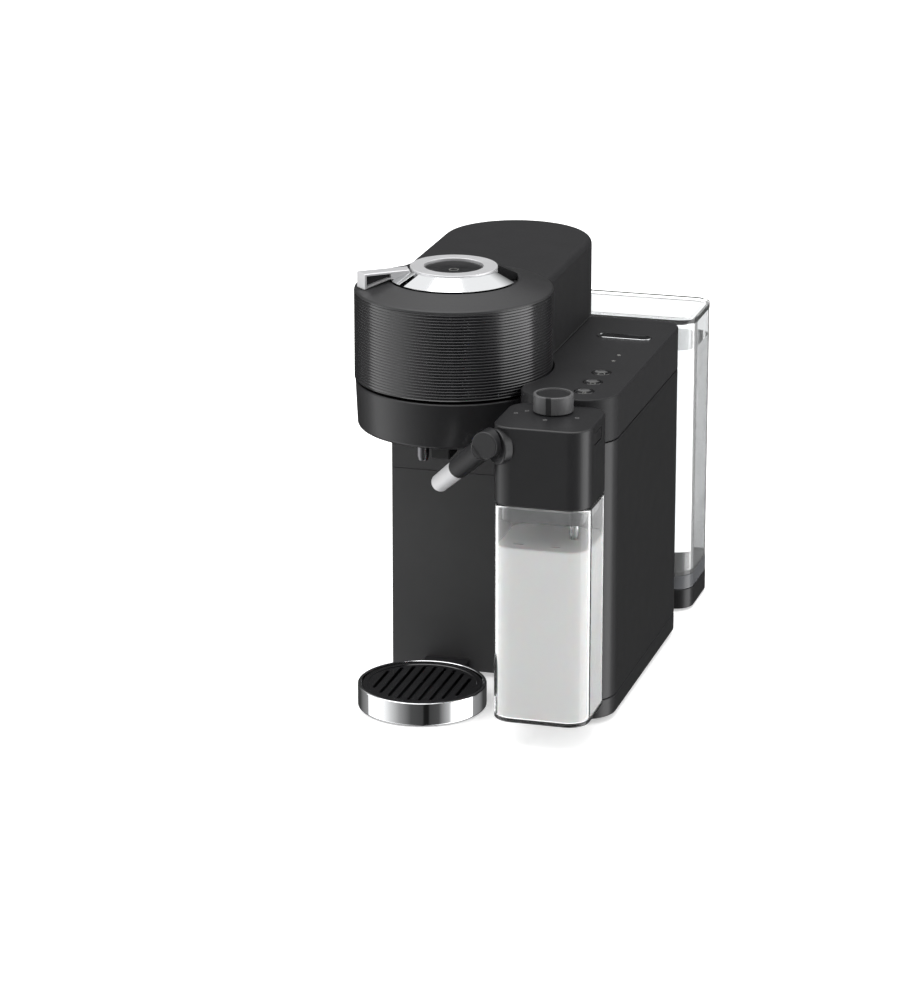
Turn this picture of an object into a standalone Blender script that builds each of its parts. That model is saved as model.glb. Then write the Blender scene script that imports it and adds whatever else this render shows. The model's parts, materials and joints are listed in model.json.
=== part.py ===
"""Pod coffee machine with a docked milk carafe: one object for each physical piece.

Lengths are in millimetres in the design frame, whose Z axis is the brewing head's axis, with X to the
right and Y to the back. The empty machine_datum carries that frame into the part's own frame, whose
origin is the centre of the footprint. Everything is scaled to metres as the meshes are made.
"""

import math

import bmesh
import bpy
from mathutils import Matrix, Vector

MM = 0.001
GAP = 0.4                                   # clearance between neighbouring pieces

# ---- driving dimensions ----
DATUM = (-29.75, -60.43)                     # head axis in the part's frame

DRUM_R = 70.0
RING_TOP, RING_BOTTOM = 227.4, 194.3
SLEEVE_BOTTOM, SLEEVE_TOP = 229.6, 292.2
SHOULDER_R, SHOULDER_Z = 46.3, 300.4
DIAL_TOP = 309.0
DIAL_R, DIAL_BORE_R = 30.8, 20.8

ARCH_X, ARCH_Y, ARCH_R = 5.0, 151.0, 55.0   # half circle at the back of the column and arch
ARCH_TOP = 294.0
COLUMN_FRONT = 13.0
HEAD_SEAM = 237.8
HINGE_Y, HINGE_Z = 197.0, 241.0

SIDE_LEFT, SIDE_RIGHT = 60.6, 129.5
SIDE_FRONT, SIDE_BACK = -63.0, 154.0
SIDE_RADII = (22.0, 24.0, 15.0, 3.0)
SIDE_TOP, SIDE_SEAM, TRIM_TOP, FLOOR_Z = 237.1, 205.0, 17.4, 4.0
RELIEF_R = 71.0                             # hollow in the side block that the drum stands in
WALL = 2.6

CUP_X, CUP_Y, BASE_R, BASE_TOP = -8.0, -54.0, 45.7, 18.0

JUG_X0, JUG_X1, JUG_Y0, JUG_Y1, JUG_R = 61.0, 129.0, -127.0, -64.0, 15.0
JUG_BOTTOM, JUG_TOP = 21.5, 177.5
CARAFE_TOP = 233.0
KNOB_X, KNOB_Y, KNOB_R, KNOB_TOP = 93.5, -81.0, 13.8, 246.0
SPOUT_TURN = math.radians(227)              # the spout's axis leaves the carafe's front left corner
SPOUT_Z = 218.0
SPOUT_TIP = Vector((14.0, -85.0, 176.3))
HUB_TURN = math.radians(257)                # the way the round cap of the spout's hub faces
HUB_CAP = Vector((60.0, -137.0, 222.0))

TANK_X0, TANK_X1, TANK_Y0, TANK_Y1, TANK_R = 22.0, 129.5, 193.0, 260.0, 14.0
STAND_TOP, COLLAR_TOP, TANK_TOP, TANK_LID_TOP = 17.0, 28.0, 224.0, 228.6

BUTTONS = ((105.0, -41.0), (105.0, -17.0), (105.0, 8.0))
BUTTON_R = 6.8
LIGHTS = ((106.0, 39.0), (106.0, 55.0))
BADGE_X, BADGE_Y, BADGE_LENGTH, BADGE_WIDTH = 98.0, 104.0, 40.0, 12.0

LEVER_TURN = math.radians(206)
LEVER_TIP_SLANT = math.radians(19)          # the tip's end face leans to the front

MOTOR_Y = 95.0
PULLEY_Z = (201.0, 207.0)
HOLDER_PULLEY_R, MOTOR_PULLEY_R = 20.0, 10.0

BIN = (-49.8, 8.0, 60.0, 140.0, 20.0, 140.0)

# ---- materials: colour, roughness, metallic ----
FINISHES = {
    "matte_black": ((0.022, 0.022, 0.023), 0.55, 0.0),
    "gloss_black": ((0.01, 0.01, 0.011), 0.15, 0.0),
    "dark_grey": ((0.06, 0.06, 0.062), 0.5, 0.0),
    "chrome": ((0.82, 0.82, 0.83), 0.12, 1.0),
    "steel": ((0.6, 0.6, 0.6), 0.35, 1.0),
    "clear": ((0.9, 0.92, 0.93), 0.08, 0.0),
    "frosted_grey": ((0.5, 0.51, 0.52), 0.4, 0.0),
    "rubber": ((0.03, 0.03, 0.03), 0.85, 0.0),
    "brass": ((0.75, 0.6, 0.3), 0.35, 1.0),
    "board_green": ((0.02, 0.16, 0.07), 0.5, 0.0),
    "light_window": ((0.75, 0.75, 0.72), 0.3, 0.0),
    "white_plastic": ((0.75, 0.75, 0.74), 0.45, 0.0),
}


def finish(name):
    """Return the named material, made on first use."""
    if name in bpy.data.materials:
        return bpy.data.materials[name]
    colour, roughness, metallic = FINISHES[name]
    material = bpy.data.materials.new(name)
    material.use_nodes = True
    shader = material.node_tree.nodes["Principled BSDF"]
    shader.inputs["Base Color"].default_value = (*colour, 1.0)
    shader.inputs["Roughness"].default_value = roughness
    shader.inputs["Metallic"].default_value = metallic
    material.diffuse_color = (*colour, 1.0)
    return material


# ---- mesh helpers ----
def make(name, points, faces, look="matte_black"):
    """Make a closed mesh object from points in millimetres, with its faces pointing out."""
    mesh = bpy.data.meshes.new(name)
    mesh.from_pydata([Vector(point) * MM for point in points], [], faces)
    work = bmesh.new()
    work.from_mesh(mesh)
    bmesh.ops.recalc_face_normals(work, faces=work.faces)
    work.to_mesh(mesh)
    work.free()
    piece = bpy.data.objects.new(name, mesh)
    bpy.context.scene.collection.objects.link(piece)
    piece.parent = bpy.data.objects["machine_datum"]
    piece.data.materials.append(finish(look))
    return piece


def prism(name, outline, z0, z1, look="matte_black"):
    """Extrude a plan outline from z0 to z1."""
    count = len(outline)
    points = [(x, y, z) for z in (z0, z1) for x, y in outline]
    faces = [tuple(range(count)), tuple(range(count, 2 * count))]
    faces += [(i, (i + 1) % count, count + (i + 1) % count, count + i) for i in range(count)]
    return make(name, points, faces, look)


def box(name, x0, x1, y0, y1, z0, z1, look="matte_black"):
    return prism(name, [(x0, y0), (x1, y0), (x1, y1), (x0, y1)], z0, z1, look)


def arc(centre, radius, start, end, steps):
    """Points on a circle from start to end, in degrees, both ends included."""
    turns = [math.radians(start + (end - start) * i / steps) for i in range(steps + 1)]
    return [(centre[0] + radius * math.cos(t), centre[1] + radius * math.sin(t)) for t in turns]


def rounded(x0, x1, y0, y1, radii, steps=5):
    """Rectangle with round corners, named front left, front right, rear right, rear left."""
    front_left, front_right, rear_right, rear_left = radii
    return (
        arc((x0 + front_left, y0 + front_left), front_left, 180, 270, steps)
        + arc((x1 - front_right, y0 + front_right), front_right, 270, 360, steps)
        + arc((x1 - rear_right, y1 - rear_right), rear_right, 0, 90, steps)
        + arc((x0 + rear_left, y1 - rear_left), rear_left, 90, 180, steps)
    )


def lathe(name, profile, centre=(0.0, 0.0), steps=40, look="matte_black"):
    """Turn a closed (radius, z) profile about a vertical axis. Points at radius 0 become one vertex."""
    points, rows = [], []
    for radius, z in profile:
        row = []
        for i in range(steps if radius > 0 else 1):
            turn = 2 * math.pi * i / steps
            row.append(len(points))
            points.append((centre[0] + radius * math.cos(turn), centre[1] + radius * math.sin(turn), z))
        rows.append(row if radius > 0 else row * steps)
    faces = []
    for lower, upper in zip(rows, rows[1:] + rows[:1]):
        for i in range(steps):
            j = (i + 1) % steps
            corners = list(dict.fromkeys((lower[i], lower[j], upper[j], upper[i])))
            if len(corners) > 2:
                faces.append(tuple(corners))
    return make(name, points, faces, look)


def disc(name, radius, z0, z1, centre=(0.0, 0.0), steps=40, look="matte_black"):
    return lathe(name, [(0, z0), (radius, z0), (radius, z1), (0, z1)], centre, steps, look)


def ring(name, inner, outer, z0, z1, centre=(0.0, 0.0), steps=40, look="matte_black"):
    return lathe(name, [(inner, z0), (outer, z0), (outer, z1), (inner, z1)], centre, steps, look)


def rod(name, start, end, radii, steps=24, look="matte_black"):
    """Round bar from start to end. radii is one radius, or one for each end."""
    start, end = Vector(start), Vector(end)
    first, last = radii if isinstance(radii, tuple) else (radii, radii)
    length = (end - start).length
    piece = lathe(name, [(0, 0), (first, 0), (last, length), (0, length)], steps=steps, look=look)
    turn = (end - start).to_track_quat("Z", "Y").to_matrix().to_4x4()
    piece.data.transform(Matrix.Translation(start * MM) @ turn)
    return piece


def combine(target, other, operation):
    """Apply a Boolean of target with other, then drop other."""
    tool = target.modifiers.new(operation, "BOOLEAN")
    tool.operation = operation
    tool.solver = "EXACT"
    tool.object = other
    apply_modifiers(target)
    bpy.data.objects.remove(other)
    return target


def cut(target, *cutters):
    for cutter in cutters:
        combine(target, cutter, "DIFFERENCE")
    return target


def join(target, *others):
    for other in others:
        combine(target, other, "UNION")
    return target


def apply_modifiers(piece):
    evaluated = piece.evaluated_get(bpy.context.evaluated_depsgraph_get())
    result = bpy.data.meshes.new_from_object(evaluated)
    piece.modifiers.clear()
    piece.data = result


def soften(piece, width, segments=2, angle=40):
    """Bevel the edges that are sharper than angle."""
    tool = piece.modifiers.new("soften", "BEVEL")
    tool.width = width * MM
    tool.segments = segments
    tool.limit_method = "ANGLE"
    tool.angle_limit = math.radians(angle)
    apply_modifiers(piece)
    return piece


def pivot(name, x, y, z, parent=None):
    """Empty on a joint's axis, at a place in the design frame."""
    empty = bpy.data.objects.new(name, None)
    bpy.context.scene.collection.objects.link(empty)
    empty.parent = parent or bpy.data.objects["machine_datum"]
    place = Vector((x, y, z)) * MM
    empty["place"] = place
    empty.location = place - (Vector(parent["place"]) if parent else Vector())
    return empty


def hang(empty, *pieces):
    """Parent pieces to an empty and keep them where they are."""
    for piece in pieces:
        piece.data.transform(Matrix.Translation(-Vector(empty["place"])))
        piece.parent = empty


# ---- outlines ----
def column_outline(inset=0.0, front=COLUMN_FRONT):
    """Straight sides with a half circle at the back."""
    radius = ARCH_R - inset
    start = [(ARCH_X - radius, front + inset), (ARCH_X + radius, front + inset)]
    return start + arc((ARCH_X, ARCH_Y), radius, 0, 180, 24)


def side_outline(inset=0.0):
    radii = [max(radius - inset, 1.0) for radius in SIDE_RADII]
    return rounded(SIDE_LEFT + inset, SIDE_RIGHT - inset, SIDE_FRONT + inset, SIDE_BACK - inset, radii)


def jug_outline(inset=0.0):
    radius = JUG_R - inset
    return rounded(JUG_X0 + inset, JUG_X1 - inset, JUG_Y0 + inset, JUG_Y1 - inset, (radius,) * 4)


def tank_outline(inset=0.0):
    radii = (2.0, TANK_R - inset, TANK_R - inset, TANK_R - inset)
    return rounded(TANK_X0 + inset, TANK_X1 - inset, TANK_Y0 + inset, TANK_Y1 - inset, radii)


def tank_prism(name, inset, z0, z1, look="matte_black"):
    """Tank plan, with its front left corner cut round the column."""
    piece = prism(name, tank_outline(inset), z0, z1, look)
    return cut(piece, disc("round_column", ARCH_R + 1.2 + inset, z0 - 1, z1 + 1, (ARCH_X, ARCH_Y), 48))


# ---- column, side block and base ----
def body_shell():
    shell = prism("body_shell", column_outline(), FLOOR_Z, HEAD_SEAM - 0.8)
    cut(shell, prism("inside", column_outline(WALL), FLOOR_Z + 3, 260))
    cut(shell, disc("head_room", DRUM_R + 0.4, RING_BOTTOM - GAP, 260, steps=48))
    cut(shell, box("bin_mouth", -60, -45, BIN[2] - 0.6, BIN[3] + 0.6, BIN[4] - 0.6, BIN[5] + 0.6))
    cut(shell, box("hinge_room", -30, 40, 192, 210, 233.9, 260))
    cut(shell, rod("gland_hole", (-25, 180, 22), (-25, 220, 22), 5.4))
    cut(shell, rod("water_hole", (38, 180, 12), (38, 205, 12), 4.4))
    return shell


def top_deck():
    """Plate that closes the column, with the lugs that hold the hinge pin."""
    deck = prism("top_deck", column_outline(3.0), 229.0, 232.0, "dark_grey")
    cut(deck, disc("head_room", DRUM_R + 0.9, 200, 260, steps=48))
    for x in (-4.0, 9.0):
        join(deck, box("lug", x, x + 5, 190, 199.6, 230, 244))
    return cut(deck, rod("pin_hole", (-25, HINGE_Y, HINGE_Z), (35, HINGE_Y, HINGE_Z), 2.3))


def brew_housing():
    """Lower ring: a shallow drum that holds the spinning capsule holder."""
    outer = [(0, RING_BOTTOM), (65.0, RING_BOTTOM), (67.2, 195.6), (68.3, 198.2), (69.3, RING_TOP)]
    housing = lathe("brew_housing", outer + [(60, RING_TOP), (60, 198.0), (0, 198.0)], steps=48)
    cut(housing, box("belt_window", -24, 24, 50, 75, 199.5, 209.5))
    return cut(housing, disc("outlet_hole", 4.6, 180, 205, (CUP_X, CUP_Y + 4), 24))


def side_housing():
    housing = prism("side_housing", side_outline(), TRIM_TOP + GAP, SIDE_SEAM)
    cut(housing, prism("inside", side_outline(WALL), TRIM_TOP + 3.4, 260))
    cut(housing, disc("head_room", RELIEF_R, RING_BOTTOM - 1, 260, steps=48))
    return cut(housing, rod("port_hole", (95, -66, 195), (95, -55, 195), 4.4))


def side_cover():
    """Top of the side block, with the button holes and the pocket of the oval plate."""
    cover = soften(prism("side_cover", side_outline(), SIDE_SEAM + GAP, SIDE_TOP), 1.2, 2, 48)
    cut(cover, prism("inside", side_outline(WALL), 200, SIDE_TOP - 3))
    cut(cover, disc("head_room", RELIEF_R, 200, 260, steps=48))
    for x, y in BUTTONS:
        cut(cover, disc("button_hole", BUTTON_R + 0.35, 230, 240, (x, y), 32))
    for x, y in LIGHTS:
        cut(cover, disc("light_hole", 1.8, 230, 240, (x, y), 16))
    return cut(cover, prism("badge_pocket", badge_outline(GAP), SIDE_TOP - 1.4, 240))


def badge_outline(grow=0.0):
    half = BADGE_WIDTH / 2 + grow
    reach = (BADGE_LENGTH - BADGE_WIDTH) / 2
    right_end = arc((BADGE_X + reach, BADGE_Y), half, -90, 90, 10)
    return right_end + arc((BADGE_X - reach, BADGE_Y), half, 90, 270, 10)


def side_trims():
    """Base pan, oval plate, indicator lights and the control board under the buttons."""
    pan = prism("base_pan", side_outline(), FLOOR_Z, TRIM_TOP)
    cut(pan, prism("inside", side_outline(WALL), FLOOR_Z + 2.6, 30))
    prism("blank_badge", badge_outline(), SIDE_TOP - 1.0, SIDE_TOP + 0.5, "chrome")
    for i, (x, y) in enumerate(LIGHTS):
        disc(f"indicator_light_{i + 1}", 1.5, 232, SIDE_TOP + 0.1, (x, y), 16, "light_window")
    box("control_board", 78, 122, -46, 62, 199.0, 200.6, "board_green")


def feet():
    for i, (x, y) in enumerate(((-30, 35), (-30, 170), (112, -38), (110, 135))):
        lathe(f"rubber_foot_{i + 1}", [(0, 0), (7, 0), (8, 1), (8, 3.7), (0, 3.7)], (x, y), 16, "rubber")


def tank_stand():
    stand = tank_prism("tank_stand", 0.0, 2.0, STAND_TOP)
    join(stand, rod("water_stub", (38, 205, 12), (38, 184.5, 12), 4.0))
    return cut(stand, disc("valve_seat", 9, STAND_TOP - 6, 30, (85, 226), 32))


# ---- brewing and water parts inside ----
def inner_parts():
    heater = soften(box("coffee_heater", 14, 50, 62, 130, 30, 120, "steel"), 4, 2)
    for x in (22, 42):
        join(heater, rod("pipe", (x, 96, 115), (x, 96, 132), 4))
    steam = soften(box("steam_heater", 70, 118, 80, 140, 36, 130, "steel"), 4, 2)
    join(steam, rod("pipe", (94, 110, 125), (94, 110, 146), 4))
    pump = rod("water_pump", (95, -25, 48), (95, 55, 48), 17, 32, "dark_grey")
    join(pump, box("foot", 80, 110, -5, 35, 22, 50))
    join(pump, rod("outlet", (95, 50, 48), (95, 68, 48), 4))
    meter = disc("flow_meter", 14, 9, 34, (30, 158), 32, "white_plastic")
    join(meter, rod("inlet", (34, 165, 12), (37, 178, 12), 3.5))
    rod("inlet_hose", (37.2, 178.6, 12), (38, 184.0, 12), 3.5, 16, "rubber")
    gland = rod("cord_gland", (-25, 193, 22), (-25, 214, 22), 5.0, 14, "rubber")
    join(gland, rod("collar", (-25, 204, 22), (-25, 208, 22), 8.5, 14))
    cut(gland, rod("bore", (-25, 190, 22), (-25, 220, 22), 3.2, 10))
    rod("hinge_pin", (-5, HINGE_Y, HINGE_Z), (15, HINGE_Y, HINGE_Z), 2.0, 20, "steel")
    rod("steam_port", (95, -54, 195), (95, -73, 195), 4.0, 24, "dark_grey")


def drive():
    """Capsule holder, its motor and the belt between them."""
    low, high = PULLEY_Z
    groove = [(22, low), (HOLDER_PULLEY_R, low), (HOLDER_PULLEY_R, high), (22, high)]
    bowl = [(30, 210), (36, 222), (40, 222), (40, 225.6), (32, 225.6), (26, 212), (0, 211)]
    holder = [(0, 199.2), (22, 199.2)] + groove + bowl
    spinner = lathe("capsule_holder", holder, steps=28, look="dark_grey")
    hang(pivot("holder_axis", 0, 0, low), spinner)
    motor = disc("rotor_motor", 18, 150, 197, (0, MOTOR_Y), 40, "steel")
    cut(motor, disc("shaft_room", 3.4, 190, 200, (0, MOTOR_Y), 20))
    wheel = [(0, 191.5), (3, 191.5), (3, 199.2), (12, 199.2), (12, low), (MOTOR_PULLEY_R, low),
             (MOTOR_PULLEY_R, high), (12, high), (12, 208.4), (0, 208.4)]
    pulley = lathe("motor_pulley", wheel, (0, MOTOR_Y), 20, "brass")
    hang(pivot("motor_axis", 0, MOTOR_Y, low), pulley)
    belt = prism("drive_belt", belt_outline(1.6), low + 0.5, high - 0.5, "rubber")
    cut(belt, prism("inside", belt_outline(0.35), low - 5, high + 5))


def belt_outline(grow):
    """Open belt round both pulleys: two arcs joined by the common tangents."""
    lean = math.degrees(math.asin((HOLDER_PULLEY_R - MOTOR_PULLEY_R) / MOTOR_Y))
    front = arc((0, 0), HOLDER_PULLEY_R + grow, 180 - lean, 360 + lean, 30)
    return front + arc((0, MOTOR_Y), MOTOR_PULLEY_R + grow, lean, 180 - lean, 16)


def outlets():
    spout = [(0, 181), (3.4, 181), (4.2, 184), (4.2, 199), (0, 199)]
    coffee = lathe("coffee_outlet", spout, (CUP_X, CUP_Y + 4), 24, "steel")
    cut(coffee, disc("bore", 1.6, 170, 210, (CUP_X, CUP_Y + 4), 16))
    soften(box("outlet_cover", -1.5, 13, -56, -36, 184, RING_BOTTOM - GAP), 1.5, 2)


def capsule_bin():
    x0, x1, y0, y1, z0, z1 = BIN
    drawer = soften(box("capsule_bin", x0, x1, y0, y1, z0, z1), 1.0, 1)
    cut(drawer, box("inside", x0 + WALL, x1 - 2, y0 + 2, y1 - 2, z0 + 2, z1 + 5))
    cut(drawer, rod("finger_grip", (x0 - 8, y0 + 25, z1 - 6), (x0 - 8, y1 - 25, z1 - 6), 9.5, 32))
    hang(pivot("bin_slide", x0, (y0 + y1) / 2, z0), drawer)


# ---- head ----
def head_cover():
    """Arch and drum shoulder in one moulding, hollow and open below, with its hinge knuckle."""
    arch = soften(prism("head_cover", column_outline(front=0), HEAD_SEAM - 15, ARCH_TOP), 5.0, 2, 50)
    cut(arch, box("below_seam", -90, 90, -90, 230, 190, HEAD_SEAM))
    room = prism("arch_inside", column_outline(2.8, front=-10), 200, ARCH_TOP - 2.8)
    cut(room, disc("sleeve_wall", DRUM_R + 3.2, 190, 300, steps=48))
    cut(arch, room)
    cut(arch, disc("sleeve_room", DRUM_R + 0.45, 200, SLEEVE_TOP + 0.3, steps=48))
    cap = [(16, 293.0), (16, 296.2), (44.8, 296.2), (SHOULDER_R, SHOULDER_Z), (69.0, 293.6), (69.9, 292.9),
           (69.9, SLEEVE_TOP + 0.15), (65.6, SLEEVE_TOP + 0.15), (65.6, 272), (62.5, 272), (62.5, 290.5),
           (50, 293.0)]
    join(arch, lathe("cap", cap, steps=48))
    cut(arch, disc("stem_room", 16.7, 285, 300, steps=40))
    join(arch, box("knuckle", 1.6, 8.4, 193.8, 204.6, 238.4, 244.6))
    return cut(arch, rod("pin_hole", (0, HINGE_Y, HINGE_Z), (10, HINGE_Y, HINGE_Z), 2.3))


def head(hinge):
    cover = head_cover()
    sleeve = ring("rib_sleeve", 66.2, DRUM_R, SLEEVE_BOTTOM, SLEEVE_TOP, steps=48)
    plate = ring("head_plate", 7.0, 65.8, 231.0, 235.0, look="dark_grey")
    seal = ring("head_seal", 33.0, 37.0, 228.6, 230.6, steps=28, look="rubber")
    point = [(0, 221), (2, 225), (2, 229), (6.4, 229), (6.4, 236.5), (0, 236.5)]
    needle = lathe("pierce_needle", point, steps=24, look="steel")
    hang(hinge, cover, sleeve, plate, seal, needle, dial_collar())


def dial_collar():
    """Fixed half of the cone round the dial; the turning skirt and lever fill the rest."""
    profile = [(32, 296.6), (44.4, 296.6), (45.6, 300.2), (45.6, 300.9), (45.0, 301.4), (32.4, 307.2),
               (32, 306.8)]
    collar = lathe("dial_collar", profile, steps=48)
    keep = [(0, 0)] + arc((0, 0), 90, 26, 194, 8)
    return combine(collar, prism("sector", keep, 290, 320), "INTERSECT")


def lever(axis):
    """Locking lever with its dial, and the lock ring that turns with it inside the head."""
    spindle = [(0, 238), (56, 238), (56, 241), (6, 241), (6, 297.0), (27, 297.0), (27, 304.1), (22, 304.1),
               (22, 299.2), (0, 299.2)]
    lock = lathe("lock_ring", spindle, look="dark_grey")
    top = soften(ring("dial_ring", DIAL_BORE_R, DIAL_R, 304.4, DIAL_TOP, look="chrome"), 0.5, 1)
    skirt = lathe("dial_skirt", [(28, 304.0), (28, 297.2), (43.5, 297.2), (44.4, 300.9), (45.6, 301.2),
                                 (31.6, 307.6), (31.3, 304.0)], steps=48, look="chrome")
    keep = [(0, 0)] + arc((0, 0), 90, 236, 353, 6)
    combine(skirt, prism("sector", keep, 290, 320), "INTERSECT")
    hang(axis, lock, top, skirt, lever_arm())


def lever_arm():
    """Bar from the dial to the drum's edge. Its underside follows the shoulder."""
    tip = 67.4
    side = [(32.0, 302.0), (46.5, 302.0), (tip, 294.9), (tip, 306.6), (32.0, 308.6)]
    slant = math.tan(LEVER_TIP_SLANT)
    points = [(r - w * slant if r == tip else r, w, z) for w in (-5.5, 5.5) for r, z in side]
    count = len(side)
    faces = [tuple(range(count)), tuple(range(count, 2 * count))]
    faces += [(i, (i + 1) % count, count + (i + 1) % count, count + i) for i in range(count)]
    arm = soften(make("lock_lever", points, faces, "chrome"), 1.4, 3)
    cut(arm, disc("dial", DIAL_R + 1.0, 290, 320, steps=40))
    arm.data.transform(Matrix.Rotation(LEVER_TURN, 4, "Z"))
    return arm


# ---- drip base ----
def drip_base():
    centre = (CUP_X, CUP_Y)
    band = lathe("chrome_base", [(43.3, 0.8), (44.4, 0.8), (BASE_R, 2.4), (BASE_R, BASE_TOP - 0.8),
                                 (BASE_R - 0.8, BASE_TOP), (43.3, BASE_TOP)], centre, 48, "chrome")
    cup_profile = [(0, 0), (42.6, 0), (42.9, 13.6), (40.9, 13.6), (40.9, 2.4), (0, 2.4)]
    cup = lathe("drip_cup", cup_profile, centre, 24)
    grid = disc("cup_grid", 42.6, 14.2, 17.2, centre, 40, "gloss_black")
    for i in range(-2, 3):
        offset = 13.0 * i
        reach = math.sqrt(36.0 ** 2 - offset ** 2)
        x = CUP_X + offset
        cut(grid, box("slot", x - 1.6, x + 1.6, CUP_Y - reach, CUP_Y + reach, 10, 20))
    arm = box("drip_arm", -24, 8, -20, COLUMN_FRONT - GAP, 3, 13)
    cut(arm, disc("base_room", BASE_R + 0.4, 0, 20, centre, 48))
    base_axis = pivot("base_slide", CUP_X, CUP_Y, 0)
    hang(base_axis, band, cup, arm)
    hang(pivot("grid_lift", CUP_X, CUP_Y, 14.2, base_axis), grid)


# ---- water tank ----
def water_tank():
    body = tank_prism("water_tank", 0.4, COLLAR_TOP + GAP, TANK_TOP, "clear")
    cut(body, tank_prism("inside", 2.8, COLLAR_TOP + 3, 260))
    cut(body, disc("valve_hole", 6.5, 10, 60, (85, 226), 32))
    collar = tank_prism("tank_collar", 0.2, STAND_TOP + GAP, COLLAR_TOP, "frosted_grey")
    cut(collar, disc("valve_room", 12, 0, 60, (85, 226), 32))
    valve = lathe("tank_valve", [(0, STAND_TOP - 3), (6, STAND_TOP - 3), (6, 36), (0, 36)], (85, 226), 24,
                  "white_plastic")
    lid = tank_prism("tank_lid", 0.2, TANK_TOP + GAP, TANK_LID_TOP, "clear")
    cut(lid, tank_prism("tray", 4.0, TANK_LID_TOP - 1.8, 240))
    axis = pivot("tank_lift", (TANK_X0 + TANK_X1) / 2, (TANK_Y0 + TANK_Y1) / 2, STAND_TOP)
    hang(axis, body, collar, valve)
    hang(pivot("tank_lid_lift", 76, 226, TANK_TOP, axis), lid)


# ---- milk carafe ----
def carafe():
    jug = soften(prism("milk_jug", jug_outline(), JUG_BOTTOM, JUG_TOP, "clear"), 4.0, 2, 48)
    cut(jug, prism("inside", jug_outline(2.2), JUG_BOTTOM + 3, 200))
    slide = pivot("carafe_slide", 95, JUG_Y1, JUG_BOTTOM)
    hang(slide, jug)
    lift = pivot("carafe_head_lift", 95, JUG_Y0, JUG_TOP, slide)
    tube = ring("suction_tube", 2.0, 3.4, 27, CARAFE_TOP - 5.4, (112, -92), 20, "clear")
    hang(lift, carafe_head(), tube)
    knob(lift)
    spout(lift)
    release_button(lift)


def carafe_head():
    top = soften(prism("carafe_head", jug_outline(), JUG_TOP + GAP, CARAFE_TOP), 1.6, 2, 48)
    join(top, prism("plug", jug_outline(5.5), JUG_TOP - 11.5, JUG_TOP + 2))
    cut(top, prism("inside", jug_outline(8.5), JUG_TOP - 20, CARAFE_TOP - 5))
    cut(top, rod("port_hole", (95, -76, 195), (95, -60, 195), 4.6))
    cut(top, box("port_slot", 90.4, 99.6, -76, -60, JUG_TOP - 20, 195))
    cut(top, disc("stem_hole", 4.5, 220, 240, (KNOB_X, KNOB_Y), 24))
    cut(top, box("button_pocket", 124.5, 140, -106.4, -87.6, 218.6, 227.4))
    join(top, rod("boss", spout_point(10), spout_point(17.2), 12.5, 40))
    join(top, rod("neck", spout_point(16), spout_point(18.7), 9.0, 40))
    return top


def spout_point(reach):
    """Point on the spout's axis, at a distance from the corner's centre."""
    centre = Vector((JUG_X0 + JUG_R, JUG_Y0 + JUG_R, SPOUT_Z))
    return centre + Vector((math.cos(SPOUT_TURN), math.sin(SPOUT_TURN), 0)) * reach


def spout(parent):
    hub = spout_point(27.5)
    way = (SPOUT_TIP - hub).normalized()
    length = (SPOUT_TIP - hub).length
    joint_at = length * 0.55
    facing = Vector((math.cos(HUB_TURN), math.sin(HUB_TURN), 0))
    arm = rod("spout_arm", HUB_CAP - facing * 15, HUB_CAP, 9.5, 36)
    join(arm, rod("tube", hub, hub + way * joint_at, (7.9, 7.4), 28))
    cut(arm, rod("swing_room", spout_point(-20), spout_point(19.2), 40, 36))
    nozzle = rod("spout_nozzle", hub + way * (joint_at + GAP), hub + way * length, (6.9, 6.3), 32, "steel")
    cut(nozzle, rod("bore", hub + way * (length * 0.7), hub + way * (length + 5), 5.2, 24))
    hang(pivot("spout_axis", *hub, parent), arm, nozzle)


def knob(parent):
    bottom = CARAFE_TOP + 0.6
    profile = [(0, 229.5), (4, 229.5), (4, bottom), (KNOB_R - 0.6, bottom), (KNOB_R, bottom + 0.6),
               (KNOB_R, KNOB_TOP - 0.6), (KNOB_R - 0.6, KNOB_TOP), (11.8, KNOB_TOP), (11.6, KNOB_TOP - 1.6),
               (0, KNOB_TOP - 1.6)]
    body = lathe("froth_knob", profile, (KNOB_X, KNOB_Y), 32, "dark_grey")
    cap = disc("knob_cap", 11.1, KNOB_TOP - 1.2, KNOB_TOP - 0.5, (KNOB_X, KNOB_Y), 32)
    hang(pivot("knob_axis", KNOB_X, KNOB_Y, CARAFE_TOP, parent), body, cap)


def release_button(parent):
    button = soften(box("carafe_button", 125.6, 128.9, -106, -88, 219, 227), 0.8, 2)
    hang(pivot("button_axis", 128.9, -97, 223, parent), button)


# ---- buttons ----
def top_buttons():
    for i, (x, y) in enumerate(BUTTONS):
        low = SIDE_TOP - 9
        profile = [(0, low), (BUTTON_R, low), (BUTTON_R, SIDE_TOP - 0.3), (BUTTON_R - 0.5, SIDE_TOP + 0.2),
                   (BUTTON_R - 1.2, SIDE_TOP + 0.2), (0, SIDE_TOP - 0.5)]
        button = lathe(f"cup_button_{i + 1}", profile, (x, y), 20, "gloss_black")
        hang(pivot(f"cup_button_axis_{i + 1}", x, y, SIDE_TOP), button)


def start_button(hinge):
    profile = [(0, 301.4), (DIAL_BORE_R - 0.6, 301.4), (DIAL_BORE_R - 0.6, 306.6), (19, 307.2), (17, 307.2),
               (0, 305.8)]
    button = lathe("start_button", profile, steps=32, look="gloss_black")
    hang(pivot("start_axis", 0, 0, 307, hinge), button)


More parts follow.
